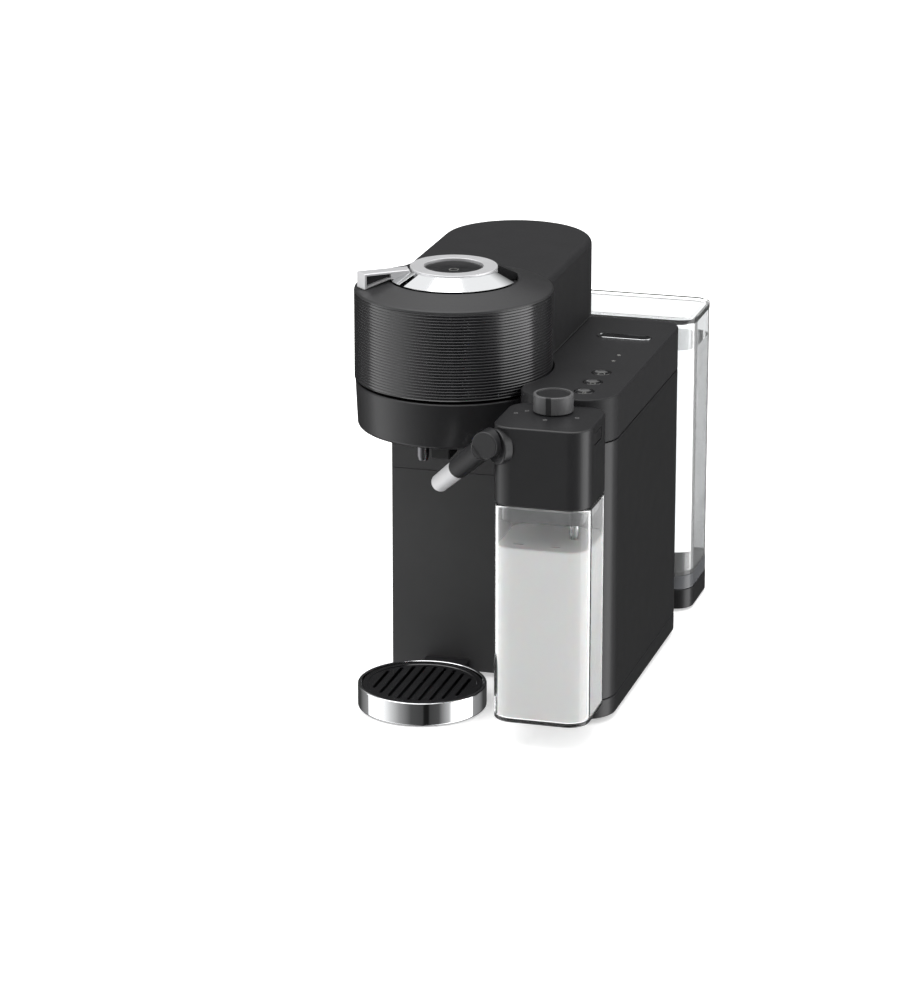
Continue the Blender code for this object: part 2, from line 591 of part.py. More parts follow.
def build():
    for thing in list(bpy.data.objects):
        bpy.data.objects.remove(thing)
    datum = bpy.data.objects.new("machine_datum", None)
    bpy.context.scene.collection.objects.link(datum)
    datum.location = (DATUM[0] * MM, DATUM[1] * MM, 0)

    body_shell()
    top_deck()
    brew_housing()
    side_housing()
    side_cover()
    side_trims()
    feet()
    tank_stand()
    inner_parts()
    drive()
    outlets()
    capsule_bin()
    hinge = pivot("head_hinge", ARCH_X, HINGE_Y, HINGE_Z)
    head(hinge)
    lever(pivot("lever_axis", 0, 0, DIAL_TOP, hinge))
    start_button(hinge)
    drip_base()
    water_tank()
    carafe()
    top_buttons()

    for piece in bpy.data.objects:
        if piece.type == "MESH":
            piece.data.shade_smooth()
            piece.data.set_sharp_from_angle(angle=math.radians(35))


build()
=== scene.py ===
"""Looks of the pod coffee machine: smooth shells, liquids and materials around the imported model.

Shapes are given in millimetres in the design frame, whose Z axis is the brewing head's axis. The head's
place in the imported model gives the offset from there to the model's own frame.
"""

import json
import math

import bmesh
import bpy
from mathutils import Matrix, Vector


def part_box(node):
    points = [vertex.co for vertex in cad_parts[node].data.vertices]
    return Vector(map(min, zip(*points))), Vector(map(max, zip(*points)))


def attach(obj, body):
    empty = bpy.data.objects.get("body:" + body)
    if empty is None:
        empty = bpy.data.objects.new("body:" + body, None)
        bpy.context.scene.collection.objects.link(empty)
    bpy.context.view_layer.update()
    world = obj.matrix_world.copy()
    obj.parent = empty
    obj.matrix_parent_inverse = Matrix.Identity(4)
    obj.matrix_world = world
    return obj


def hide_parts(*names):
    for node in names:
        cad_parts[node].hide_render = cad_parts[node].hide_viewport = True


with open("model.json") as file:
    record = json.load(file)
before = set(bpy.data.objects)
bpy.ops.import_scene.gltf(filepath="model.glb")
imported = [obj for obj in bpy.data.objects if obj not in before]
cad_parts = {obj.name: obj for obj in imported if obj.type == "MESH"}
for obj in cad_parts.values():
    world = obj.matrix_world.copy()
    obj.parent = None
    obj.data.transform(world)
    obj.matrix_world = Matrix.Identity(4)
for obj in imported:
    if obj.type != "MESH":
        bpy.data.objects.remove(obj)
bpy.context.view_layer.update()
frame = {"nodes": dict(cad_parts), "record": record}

MM = 0.001
SLEEVE_LOW, SLEEVE_HIGH = (Vector(corner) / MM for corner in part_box("rib_sleeve"))
AXIS = Vector(((SLEEVE_LOW.x + SLEEVE_HIGH.x) / 2, (SLEEVE_LOW.y + SLEEVE_HIGH.y) / 2, 0))
FINE, FINEST = 128, 192                     # sides of a turned piece, and of a large one
GAP = 0.4                                   # seam between two neighbouring shells
WALL = 2.6                                  # thickness of a shell


def design_box(node):
    """Lowest and highest corner of a CAD node, in millimetres in the design frame."""
    return [Vector(corner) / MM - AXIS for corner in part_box(node)]


# ---- driving sizes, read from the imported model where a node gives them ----
# Head: ribbed sleeve, shallow ring below it, shoulder above it and dial on top.
DRUM_R = (SLEEVE_HIGH.x - SLEEVE_LOW.x) / 2
SLEEVE_BOTTOM, SLEEVE_TOP, SLEEVE_BORE_R = SLEEVE_LOW.z, SLEEVE_HIGH.z, 66.2
RING_R, RING_BOTTOM, RING_TOP = 69.3, 194.3, 227.4
RING_BORE_R, RING_FLOOR = 60.0, 198.0
SHOULDER_R, SHOULDER_Z = 46.3, 300.4
DIAL_R, DIAL_BORE_R, DIAL_TOP = 30.8, 20.8, 309.0
SKIRT_SECTOR, WEDGE_SECTOR, COLLAR_SECTOR = (236, 353), (213, 229), (26, 194)
LEVER_TURN, LEVER_TIP_SLANT = math.radians(206), math.radians(19)
LEVER_ROOT_R, LEVER_TIP_R = 32.0, 66.0

# Column and arch share one plan: straight sides that end in a half circle at the rear.
ARCH_X, ARCH_Y, ARCH_R, ARCH_TOP = 5.0, 151.0, 55.0, 294.0
COLUMN_FRONT, HEAD_SEAM, FLOOR_Z = 13.0, 237.8, 4.0
PANEL_SEAM = (153.4, 154.0)
HINGE_Y, HINGE_Z = 197.0, 241.0
BIN_FRONT, BIN_REAR, BIN_BOTTOM, BIN_TOP = 60.0, 140.0, 20.0, 140.0
GLAND_X, GLAND_Z = -25.0, 22.0
WATER_PIPE_X, WATER_PIPE_Z = 38.0, 12.0

# Side block, whose corner radii are front left, front right, rear right, rear left.
SIDE_LOW, SIDE_HIGH = design_box("side_housing")
SIDE_RADII = (22.0, 24.0, 15.0, 3.0)
SIDE_TOP, SIDE_SEAM, TRIM_TOP = 237.1, 205.0, 17.4
RELIEF_R = 71.0                             # room for the head in the side block
BUTTONS = ((105.0, -41.0), (105.0, -17.0), (105.0, 8.0))
BUTTON_R, LIGHT_R = 6.8, 1.8
BADGE_X, BADGE_Y, BADGE_LENGTH, BADGE_WIDTH = 98.0, 104.0, 40.0, 12.0
PORT_X, PORT_Z = 95.0, 195.0                # steam port between side block and carafe

# Cup base, and the coffee outlet above it.
CUP_X, CUP_Y, BASE_R, BASE_TOP = -8.0, -54.0, 45.7, 18.0
OUTLET = (CUP_X, CUP_Y + 4)

# Milk carafe, with its knob and spout.
JUG_LOW, JUG_HIGH = design_box("milk_jug")
JUG_R, CARAFE_TOP, MILK_TOP = 15.0, 233.0, 147.5
SUCTION_TUBE = (112, -92)
KNOB_X, KNOB_Y, KNOB_R, KNOB_TOP = 93.5, -81.0, 13.8, 246.0
SPOUT_TURN, SPOUT_Z = math.radians(227), 218.0
SPOUT_TIP = Vector((14.0, -85.0, 176.3))
HUB_TURN, HUB_CAP = math.radians(257), Vector((60.0, -137.0, 222.0))

# Water tank and the stand it sits on.
TANK_X0, TANK_X1, TANK_Y0, TANK_Y1, TANK_R = 22.0, 129.5, 193.0, 260.0, 14.0
STAND_TOP, COLLAR_TOP, TANK_TOP, TANK_LID_TOP = 17.0, 28.0, 224.0, 228.6
WATER_TOP = 204.0
VALVE = (85.0, 226.0)

# Lights and camera. The panels stand round the machine, with angle 0 on the camera's side.
PANEL_TURN = math.radians(74.2)
PANEL_SCALE, PANEL_STRENGTH = 5, 0.62
# Angle in degrees, anticlockwise seen from above, and brightness there.
PANELS = (
    (-180, 0.08), (-145, 0.10), (-130, 0.35), (-113, 0.55), (-110, 3.2), (-85, 2.8), (-58, 1.3),
    (-41, 0.6), (-20, 0.15), (2, 0.10), (3, 0.02), (12, 0.02), (13, 0.10), (30, 0.15), (50, 1.0),
    (62, 4.8), (100, 4.8), (103, 0.60), (125, 0.40), (140, 0.10), (180, 0.08),
)
# Brightness overhead, divided by PANEL_SCALE, and the upward slopes between which it takes over.
ABOVE_PANELS, PANEL_ENDS = 0.34, (0.42, 0.65)
FLOOR_HALF, FLOOR_GLOW = 9, 0.45
CAMERA_PLACE = (0.75078, -2.79874, 1.03773)
CAMERA_TURN = (math.radians(72.4453), 0, math.radians(15.7945))
LENS_LENGTH, SENSOR_WIDTH, CLIP_END = 151.2, 36, 50

# Surfaces: the share by which roughness drifts, and the height of the fine grain in metres.
ROUGHNESS_DRIFT, GRAIN_HEIGHT = 0.12, 0.00015


# ---- materials ----
def surface(name, colour, roughness, vary=0.05, patch=60, grain=0.0, grain_scale=1800, stretch=(1, 1, 1),
            **sockets):
    """Principled material whose colour and roughness drift slightly, with an optional fine grain.

    Each further keyword sets the shader's socket of that name, with spaces for underscores.
    """
    material = bpy.data.materials.new(name)
    material.use_nodes = True
    nodes, links = material.node_tree.nodes, material.node_tree.links
    shader = nodes["Principled BSDF"]
    coordinates = nodes.new("ShaderNodeTexCoord")
    scale = nodes.new("ShaderNodeMapping")
    scale.inputs["Scale"].default_value = stretch
    links.new(coordinates.outputs["Object"], scale.inputs["Vector"])

    drift = nodes.new("ShaderNodeTexNoise")
    drift.inputs["Scale"].default_value = patch
    drift.inputs["Detail"].default_value = 3
    links.new(scale.outputs["Vector"], drift.inputs["Vector"])
    ramp = nodes.new("ShaderNodeValToRGB")
    ramp.color_ramp.elements[0].color = (*[channel * (1 - vary) for channel in colour], 1)
    ramp.color_ramp.elements[1].color = (*[min(1, channel * (1 + vary)) for channel in colour], 1)
    links.new(drift.outputs["Fac"], ramp.inputs["Fac"])
    links.new(ramp.outputs["Color"], shader.inputs["Base Color"])
    spread = nodes.new("ShaderNodeMapRange")
    spread.inputs["To Min"].default_value = roughness * (1 - ROUGHNESS_DRIFT)
    spread.inputs["To Max"].default_value = min(1.0, roughness * (1 + ROUGHNESS_DRIFT))
    links.new(drift.outputs["Fac"], spread.inputs["Value"])
    links.new(spread.outputs["Result"], shader.inputs["Roughness"])

    if grain:
        fine = nodes.new("ShaderNodeTexNoise")
        fine.inputs["Scale"].default_value = grain_scale
        fine.inputs["Detail"].default_value = 2
        links.new(scale.outputs["Vector"], fine.inputs["Vector"])
        bump = nodes.new("ShaderNodeBump")
        bump.inputs["Strength"].default_value = grain
        bump.inputs["Distance"].default_value = GRAIN_HEIGHT
        links.new(fine.outputs["Fac"], bump.inputs["Height"])
        links.new(bump.outputs["Normal"], shader.inputs["Normal"])
    for socket, value in sockets.items():
        shader.inputs[socket.replace("_", " ")].default_value = value
    return material


COLUMN = surface("column_plastic", (0.045, 0.045, 0.046), 0.48, grain=0.25, Specular_IOR_Level=0.3)
CHARCOAL = surface("charcoal_plastic", (0.024, 0.024, 0.025), 0.36, grain=0.25, Specular_IOR_Level=0.14)
SHOULDER = surface("shoulder_plastic", (0.024, 0.024, 0.025), 0.36, grain=0.2, Specular_IOR_Level=0.4)
SATIN = surface("satin_black_plastic", (0.014, 0.014, 0.015), 0.33, grain=0.12, Specular_IOR_Level=0.42)
GLOSS = surface("gloss_black_plastic", (0.008, 0.008, 0.009), 0.16, patch=25, Coat_Weight=0.6)
RIBS = surface("rib_black_plastic", (0.006, 0.006, 0.007), 0.2, patch=25, Coat_Weight=0.5)
DISC = surface("start_disc_plastic", (0.008, 0.008, 0.009), 0.3, patch=25, Specular_IOR_Level=0.25)
DARK = surface("dark_inner_plastic", (0.012, 0.012, 0.013), 0.6, grain=0.3)
KNOB_GREY = surface("knob_plastic", (0.08, 0.08, 0.082), 0.45, grain=0.25)
CHROME = surface("chrome_plate", (0.78, 0.79, 0.8), 0.07, vary=0.02, patch=20, Metallic=1.0)
SATIN_CHROME = surface("satin_chrome", (0.66, 0.66, 0.67), 0.4, vary=0.03, grain=0.08, Metallic=0.55)
BRUSHED = surface("brushed_metal", (0.66, 0.66, 0.67), 0.3, grain=0.3, grain_scale=900, stretch=(1, 1, 0.06),
                  Metallic=1.0)
DARK_STEEL = surface("dark_steel", (0.2, 0.2, 0.21), 0.35, grain=0.2, Metallic=1.0)
BRASS = surface("brass", (0.7, 0.52, 0.22), 0.3, grain=0.1, Metallic=1.0)
CLEAR = surface("clear_plastic", (0.98, 0.988, 0.99), 0.03, vary=0.005, Transmission_Weight=0.985, IOR=1.45)
TANK_CLEAR = surface("tank_plastic", (0.945, 0.955, 0.96), 0.03, vary=0.005, Transmission_Weight=0.94,
                     IOR=1.45)
WATER = surface("water", (0.985, 0.992, 0.995), 0.01, vary=0.005, Transmission_Weight=1.0, IOR=1.33)
SMOKY = surface("smoky_plastic", (0.16, 0.165, 0.175), 0.16, Transmission_Weight=0.35, IOR=1.45)
MILK = surface("milk", (0.76, 0.755, 0.745), 0.35, vary=0.012, patch=18, Subsurface_Weight=0.25,
               Subsurface_Scale=0.004)
RUBBER = surface("rubber", (0.014, 0.014, 0.014), 0.8, grain=0.5)
BOARD = surface("circuit_board", (0.015, 0.1, 0.04), 0.45, vary=0.3, patch=400)
WHITE_PLASTIC = surface("white_plastic", (0.6, 0.6, 0.59), 0.4, grain=0.2)
LAMP = surface("lamp_window", (0.2, 0.2, 0.19), 0.25, vary=0.03)
MARK = surface("pad_printed_mark", (0.14, 0.14, 0.14), 0.5, vary=0.04)


# ---- mesh helpers ----
def make(name, points, faces, look):
    """Closed mesh from points in millimetres in the design frame."""
    mesh = bpy.data.meshes.new(name)
    mesh.from_pydata([(Vector(point) + AXIS) * MM for point in points], [], faces)
    work = bmesh.new()
    work.from_mesh(mesh)
    bmesh.ops.recalc_face_normals(work, faces=work.faces)
    work.to_mesh(mesh)
    work.free()
    piece = bpy.data.objects.new(name, mesh)
    bpy.context.scene.collection.objects.link(piece)
    mesh.materials.append(look)
    return piece


def prism_faces(count):
    """Faces between two outlines of count points each, the second outline following the first."""
    ends = [tuple(range(count)), tuple(range(count, 2 * count))]
    return ends + [(i, (i + 1) % count, count + (i + 1) % count, count + i) for i in range(count)]


def prism(name, outline, z0, z1, look=DARK):
    points = [(x, y, z) for z in (z0, z1) for x, y in outline]
    return make(name, points, prism_faces(len(outline)), look)


def box(name, x0, x1, y0, y1, z0, z1, look=DARK):
    return prism(name, [(x0, y0), (x1, y0), (x1, y1), (x0, y1)], z0, z1, look)


def arc(centre, radius, start, end, steps):
    """Points of an arc between two directions, in degrees."""
    turns = [math.radians(start + (end - start) * i / steps) for i in range(steps + 1)]
    return [(centre[0] + radius * math.cos(t), centre[1] + radius * math.sin(t)) for t in turns]


def rounded(x0, x1, y0, y1, radii, steps=16):
    """Rectangle with round corners, whose radii are front left, front right, rear right, rear left."""
    front_left, front_right, rear_right, rear_left = radii
    return (
        arc((x0 + front_left, y0 + front_left), front_left, 180, 270, steps)
        + arc((x1 - front_right, y0 + front_right), front_right, 270, 360, steps)
        + arc((x1 - rear_right, y1 - rear_right), rear_right, 0, 90, steps)
        + arc((x0 + rear_left, y1 - rear_left), rear_left, 90, 180, steps)
    )


def lathe(name, profile, look=DARK, centre=(0.0, 0.0), steps=FINE):
    """Turn a closed (radius, z) profile about a vertical axis."""
    points, rows = [], []
    for radius, z in profile:
        row = []
        for i in range(steps if radius > 0 else 1):
            turn = 2 * math.pi * i / steps
            row.append(len(points))
            points.append((centre[0] + radius * math.cos(turn), centre[1] + radius * math.sin(turn), z))
        rows.append(row if radius > 0 else row * steps)
    faces = []
    for lower, upper in zip(rows, rows[1:] + rows[:1]):
        for i in range(steps):
            j = (i + 1) % steps
            corners = list(dict.fromkeys((lower[i], lower[j], upper[j], upper[i])))
            if len(corners) > 2:
                faces.append(tuple(corners))
    return make(name, points, faces, look)


def disc(name, radius, z0, z1, look=DARK, centre=(0.0, 0.0), steps=FINE):
    return lathe(name, [(0, z0), (radius, z0), (radius, z1), (0, z1)], look, centre, steps)


def ring(name, inner, outer, z0, z1, look=DARK, centre=(0.0, 0.0), steps=FINE):
    return lathe(name, [(inner, z0), (outer, z0), (outer, z1), (inner, z1)], look, centre, steps)


def corner(radius, z, size, start, steps=6):
    """Quarter round of a turned profile about (radius, z), anticlockwise from start degrees."""
    return arc((radius, z), size, start, start + 90, steps)


def rod(name, start, end, radii, look=DARK, steps=64, edge=0.0):
    """Round bar from start to end, with its rims rounded by edge."""
    start, end = Vector(start), Vector(end)
    first, last = radii if isinstance(radii, tuple) else (radii, radii)
    length = (end - start).length
    if edge:
        profile = [(0, 0)] + corner(first - edge, edge, edge, 270)
        profile += corner(last - edge, length - edge, edge, 0) + [(0, length)]
    else:
        profile = [(0, 0), (first, 0), (last, length), (0, length)]
    piece = lathe(name, profile, look, steps=steps)
    turn = (end - start).to_track_quat("Z", "Y").to_matrix().to_4x4()
    home = Matrix.Translation(AXIS * MM)
    piece.data.transform(home @ Matrix.Translation(start * MM) @ turn @ home.inverted())
    return piece


def apply_modifiers(piece):
    """Replace the mesh by the mesh that its modifiers make of it."""
    evaluated = piece.evaluated_get(bpy.context.evaluated_depsgraph_get())
    result = bpy.data.meshes.new_from_object(evaluated)
    piece.modifiers.clear()
    piece.data = result


def combine(target, other, operation):
    """Apply a boolean operation with another piece, which is used up."""
    tool = target.modifiers.new(operation, "BOOLEAN")
    tool.operation = operation
    tool.solver = "EXACT"
    tool.object = other
    apply_modifiers(target)
    bpy.data.objects.remove(other)
    return target


def cut(target, *cutters):
    for cutter in cutters:
        combine(target, cutter, "DIFFERENCE")
    return target


def join(target, *others):
    for other in others:
        combine(target, other, "UNION")
    return target


def soften(piece, width, segments=4, angle=40):
    """Bevel the edges that are sharper than angle."""
    tool = piece.modifiers.new("soften", "BEVEL")
    tool.width = width * MM
    tool.segments = segments
    tool.limit_method = "ANGLE"
    tool.angle_limit = math.radians(angle)
    apply_modifiers(piece)
    return piece


def place(piece, body, slot, *nodes, angle=32):
    """Smooth a finished piece, hang it on its body and hide the CAD nodes it stands for."""
    piece.data.shade_smooth()
    piece.data.set_sharp_from_angle(angle=math.radians(angle))
    even = piece.modifiers.new("even_normals", "WEIGHTED_NORMAL")
    even.keep_sharp = True
    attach(piece, body)
    if nodes:
        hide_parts(*nodes)
    return piece


# ---- outlines ----
def column_outline(inset=0.0, front=COLUMN_FRONT):
    radius = ARCH_R - inset
    start = [(ARCH_X - radius, front + inset), (ARCH_X + radius, front + inset)]
    return start + arc((ARCH_X, ARCH_Y), radius, 0, 180, 72)


def side_outline(inset=0.0):
    radii = [max(radius - inset, 1.0) for radius in SIDE_RADII]
    return rounded(SIDE_LOW.x + inset, SIDE_HIGH.x - inset, SIDE_LOW.y + inset, SIDE_HIGH.y - inset, radii)


def jug_outline(inset=0.0):
    return rounded(JUG_LOW.x + inset, JUG_HIGH.x - inset, JUG_LOW.y + inset, JUG_HIGH.y - inset,
                   (JUG_R - inset,) * 4)


def tank_prism(name, inset, z0, z1, look=DARK):
    """Tank plan, with its front left corner cut round the column."""
    radii = (2.0, TANK_R - inset, TANK_R - inset, TANK_R - inset)
    outline = rounded(TANK_X0 + inset, TANK_X1 - inset, TANK_Y0 + inset, TANK_Y1 - inset, radii)
    room = disc("round_column", ARCH_R + 1.2 + inset, z0 - 1, z1 + 1, centre=(ARCH_X, ARCH_Y), steps=160)
    return cut(prism(name, outline, z0, z1, look), room)


def badge_outline(grow=0.0):
    half = BADGE_WIDTH / 2 + grow
    reach = (BADGE_LENGTH - BADGE_WIDTH) / 2
    right_end = arc((BADGE_X + reach, BADGE_Y), half, -90, 90, 24)
    return right_end + arc((BADGE_X - reach, BADGE_Y), half, 90, 270, 24)


# ---- column ----
def column():
    """Column shell with its openings for the bin, the hinge, the cord and the water pipe."""
    shell = soften(prism("column_skin", column_outline(), FLOOR_Z, HEAD_SEAM - 0.8, COLUMN), 0.6, 3, 60)
    cut(shell, prism("inside", column_outline(WALL), FLOOR_Z + 3, 260))
    cut(shell, disc("head_room", DRUM_R + 0.4, RING_BOTTOM - GAP, 260))
    room = 0.6
    cut(shell, box("bin_mouth", -60, -45, BIN_FRONT - room, BIN_REAR + room, BIN_BOTTOM - room,
                   BIN_TOP + room))
    cut(shell, box("hinge_room", -30, 40, HINGE_Y - 5, HINGE_Y + 13, 233.9, 260))
    cut(shell, rod("gland_hole", (GLAND_X, 180, GLAND_Z), (GLAND_X, 220, GLAND_Z), 5.4))
    cut(shell, rod("water_hole", (WATER_PIPE_X, 180, WATER_PIPE_Z), (WATER_PIPE_X, 205, WATER_PIPE_Z), 4.4))
    cut(shell, box("panel_seam", -60, 70, COLUMN_FRONT - 1, COLUMN_FRONT + 0.5, *PANEL_SEAM))
    place(shell, "machine", "matte_black", "body_shell")


def lower_ring():
    """Shallow drum under the seam, with its rounded lower edge."""
    edge, rim = 3.2, 0.6
    profile = [(0, RING_BOTTOM)] + arc((64.8, RING_BOTTOM + edge), edge, 270, 350, 8)
    profile += [(RING_R, RING_TOP - 0.8), (68.6, RING_TOP), (RING_BORE_R + rim, RING_TOP)]
    profile += [(RING_BORE_R, RING_TOP - rim), (RING_BORE_R, RING_FLOOR), (0, RING_FLOOR)]
    housing = lathe("lower_ring_skin", profile, SATIN)
    cut(housing, box("belt_window", -24, 24, 50, 75, 199.5, 209.5))
    cut(housing, disc("outlet_hole", 4.6, 180, 205, centre=OUTLET))
    place(housing, "machine", "matte_black", "brew_housing")


def coffee_outlet():
    """Steel nozzle below the ring, with its guard."""
    profile = [(0, 181)] + corner(2.9, 181.5, 0.5, 270) + [(4.2, 184), (4.2, 199), (0, 199)]
    nozzle = lathe("coffee_nozzle", profile, DARK_STEEL, OUTLET, 64)
    cut(nozzle, disc("bore", 1.6, 170, 210, centre=OUTLET, steps=48))
    place(nozzle, "machine", "steel", "coffee_outlet")
    guard = soften(box("nozzle_guard", -1.5, 13, -56, -36, 184, RING_BOTTOM - GAP, DARK), 1.5, 4)
    place(guard, "machine", "matte_black", "outlet_cover")


# ---- side block ----
def side_block():
    """Housing, base pan and top cover of the block at the right, with its blank badge."""
    housing = soften(prism("side_housing_skin", side_outline(), TRIM_TOP + GAP, SIDE_SEAM, SATIN), 0.5, 3, 60)
    cut(housing, prism("inside", side_outline(WALL), TRIM_TOP + 3.4, 260))
    cut(housing, disc("head_room", RELIEF_R, RING_BOTTOM - 1, 260))
    cut(housing, rod("port_hole", (PORT_X, -66, PORT_Z), (PORT_X, -55, PORT_Z), 4.4))
    place(housing, "machine", "matte_black", "side_housing")

    pan = soften(prism("base_pan_skin", side_outline(), FLOOR_Z, TRIM_TOP, SATIN), 1.2, 4, 60)
    cut(pan, prism("inside", side_outline(WALL), FLOOR_Z + 2.6, 30))
    place(pan, "machine", "matte_black", "base_pan")

    cover = soften(prism("side_cover_skin", side_outline(), SIDE_SEAM + GAP, SIDE_TOP, CHARCOAL), 1.2, 4, 60)
    cut(cover, prism("inside", side_outline(WALL), 200, SIDE_TOP - 3))
    cut(cover, disc("head_room", RELIEF_R, 200, 260))
    for x, y in BUTTONS:
        cut(cover, disc("button_hole", BUTTON_R + 0.35, 230, 240, centre=(x, y), steps=64))
    for i in (1, 2):
        low, high = design_box(f"indicator_light_{i}")
        centre = ((low.x + high.x) / 2, (low.y + high.y) / 2)
        cut(cover, disc("light_hole", LIGHT_R, 230, 240, centre=centre, steps=32))
    cut(cover, prism("badge_pocket", badge_outline(GAP), SIDE_TOP - 1.4, 240))
    place(cover, "machine", "matte_black", "side_cover")

    rim = soften(prism("badge_rim", badge_outline(), SIDE_TOP - 1.0, SIDE_TOP + 0.5, CHROME), 0.3, 3, 60)
    cut(rim, prism("badge_field", badge_outline(-1.1), SIDE_TOP - 0.1, SIDE_TOP + 2))
    place(rim, "machine", "chrome", "blank_badge")
    plate = prism("badge_plate", badge_outline(-1.3), SIDE_TOP - 0.05, SIDE_TOP + 0.25, GLOSS)
    place(soften(plate, 0.1, 2, 60), "machine", "gloss_black")


def cup_buttons():
    """Three press buttons, dished, each with a ring of its own size as its mark."""
    for i, (x, y) in enumerate(BUTTONS):
        low, edge = SIDE_TOP - 9, 0.4
        dish_r, dish_edge, dish_depth = 5.4, 0.3, 0.9
        profile = [(0, low), (BUTTON_R, low), (BUTTON_R, SIDE_TOP - 0.3)]
        profile += corner(BUTTON_R - edge, SIDE_TOP - 0.2, edge, 0) + [(BUTTON_R - 1.2, SIDE_TOP + 0.1)]
        for r in (dish_r, 4.4, 3.3, 2.2):
            profile.append((r, SIDE_TOP - dish_edge - dish_depth * (1 - (r / dish_r) ** 2)))
        profile.append((0, SIDE_TOP - 1.2))
        button = lathe(f"press_button_{i + 1}", profile, GLOSS, (x, y), 64)
        place(button, f"cup_{i + 1}", "gloss_black", f"cup_button_{i + 1}")
        inner, outer = 1.0 + 0.6 * i, 1.5 + 0.6 * i
        mark = ring(f"button_mark_{i + 1}", inner, outer, SIDE_TOP - 1.2, SIDE_TOP - 0.98, LAMP, (x, y), 48)
        place(mark, f"cup_{i + 1}", "light_window")


# ---- head ----
def sector(piece, ends):
    """Keep the part of a piece between two directions from the head's axis, in degrees."""
    wedge = [(0, 0)] + arc((0, 0), 90, *ends, 12)
    return combine(piece, prism("sector", wedge, 280, 320), "INTERSECT")


def head_arch():
    """Arch, hollow below, with the room for the sleeve and one knuckle of the hinge."""
    arch = soften(prism("head_skin", column_outline(front=0), HEAD_SEAM - 15, ARCH_TOP, CHARCOAL), 5.0, 8, 60)
    cut(arch, box("below_seam", -90, 90, -90, 230, 190, HEAD_SEAM))
    arch_wall = 2.8
    room = prism("arch_inside", column_outline(arch_wall, front=-10), 200, ARCH_TOP - arch_wall)
    cut(room, disc("sleeve_wall", DRUM_R + 3.2, 190, 300))
    cut(arch, room)
    cut(arch, disc("sleeve_room", DRUM_R + 0.45, 200, SLEEVE_TOP + 0.3))
    cut(arch, disc("stem_room", 50, 285, 300))
    join(arch, box("knuckle", 1.6, 8.4, 193.8, 204.6, 238.4, 244.6))
    cut(arch, rod("pin_hole", (0, HINGE_Y, HINGE_Z), (10, HINGE_Y, HINGE_Z), 2.3))
    place(arch, "head", "matte_black", "head_cover")


def head_shoulder():
    """Shallow cone that slopes outwards to the ribs, and inside it the floor of the dial's room."""
    under = SLEEVE_TOP + 0.15
    shoulder = [(16.7, 293.0), (16.7, 296.2), (44.8, 296.2), (45.3, 299.9), (SHOULDER_R + 0.6, SHOULDER_Z)]
    shoulder += arc((68.2, 292.2), 1.7, 70, 0, 8) + [(69.9, under), (65.6, under), (65.6, 272), (62.5, 272)]
    shoulder += [(62.5, 290.5), (50, 293.0)]
    place(lathe("shoulder_skin", shoulder, SHOULDER), "head", "matte_black")


def fixed_collar():
    """Part of the cone round the dial that stays with the head."""
    cone = [(32, 296.6), (44.4, 296.6), (45.2, 300.2), (45.6, 300.7), (45.2, 301.3), (32.6, 307.1)]
    cone.append((32, 306.8))
    collar = soften(sector(lathe("fixed_collar", cone, CHARCOAL, steps=FINEST), COLLAR_SECTOR), 0.25, 2, 60)
    place(collar, "head", "matte_black", "dial_collar")


def rib_sleeve():
    """Sleeve of full round ribs between two plain edges."""
    ribs, edge, depth, steps, fullness = 29, 1.0, 0.42, 8, 0.4
    pitch = (SLEEVE_TOP - SLEEVE_BOTTOM - 2 * edge) / ribs
    profile = [(SLEEVE_BORE_R, SLEEVE_BOTTOM), (DRUM_R - 0.4, SLEEVE_BOTTOM), (DRUM_R, SLEEVE_BOTTOM + 0.4)]
    for i in range(ribs):
        base = SLEEVE_BOTTOM + edge + pitch * i
        for step in range(steps):
            share = step / steps
            lift = math.sin(math.pi * share) ** fullness
            profile.append((DRUM_R - depth + depth * lift, base + pitch * share))
    profile += [(DRUM_R - depth, SLEEVE_TOP - edge), (DRUM_R, SLEEVE_TOP - 0.6), (DRUM_R - 0.3, SLEEVE_TOP)]
    profile.append((SLEEVE_BORE_R, SLEEVE_TOP))
    sleeve = lathe("ribbed_sleeve", profile, RIBS, steps=FINEST)
    place(sleeve, "head", "gloss_black", "rib_sleeve", angle=50)


def dial():
    """Flat bright ring and its chrome cone, in two sectors: the skirt, and a wedge beside the lever."""
    edge = 0.5
    profile = [(DIAL_BORE_R, 304.6), (DIAL_R - 0.3, 304.4), (DIAL_R, 304.8), (DIAL_R, DIAL_TOP - edge)]
    profile += corner(DIAL_R - edge, DIAL_TOP - edge, edge, 0)
    profile += corner(DIAL_BORE_R + edge, DIAL_TOP - edge, edge, 90)
    place(lathe("bright_ring", profile, SATIN_CHROME), "lever", "chrome", "dial_ring")

    cone = [(28, 304.0), (28, 297.2), (43.5, 297.2), (44.4, 300.7), (44.9, 301.3), (45.6, 301.3)]
    cone += [(31.9, 307.6), (31.3, 307.2), (31.3, 304.0)]
    for name, ends, nodes in (("cone_skirt", SKIRT_SECTOR, ["dial_skirt"]), ("cone_wedge", WEDGE_SECTOR, [])):
        piece = soften(sector(lathe(name, cone, CHROME, steps=FINEST), ends), 0.25, 2, 60)
        place(piece, "lever", "chrome", *nodes)


def bar(name, side, w0, w1, look):
    """Bar across the lever's width, from its (radius, z) side view, turned to the lever's direction.

    Its outer end slants across the width, towards the front.
    """
    slant, outer_end = math.tan(LEVER_TIP_SLANT), 60
    points = [(r - w * slant if r > outer_end else r, w, z) for w in (w0, w1) for r, z in side]
    piece = make(name, points, prism_faces(len(side)), look)
    home = Matrix.Translation(AXIS * MM)
    piece.data.transform(home @ Matrix.Rotation(LEVER_TURN, 4, "Z") @ home.inverted())
    return piece


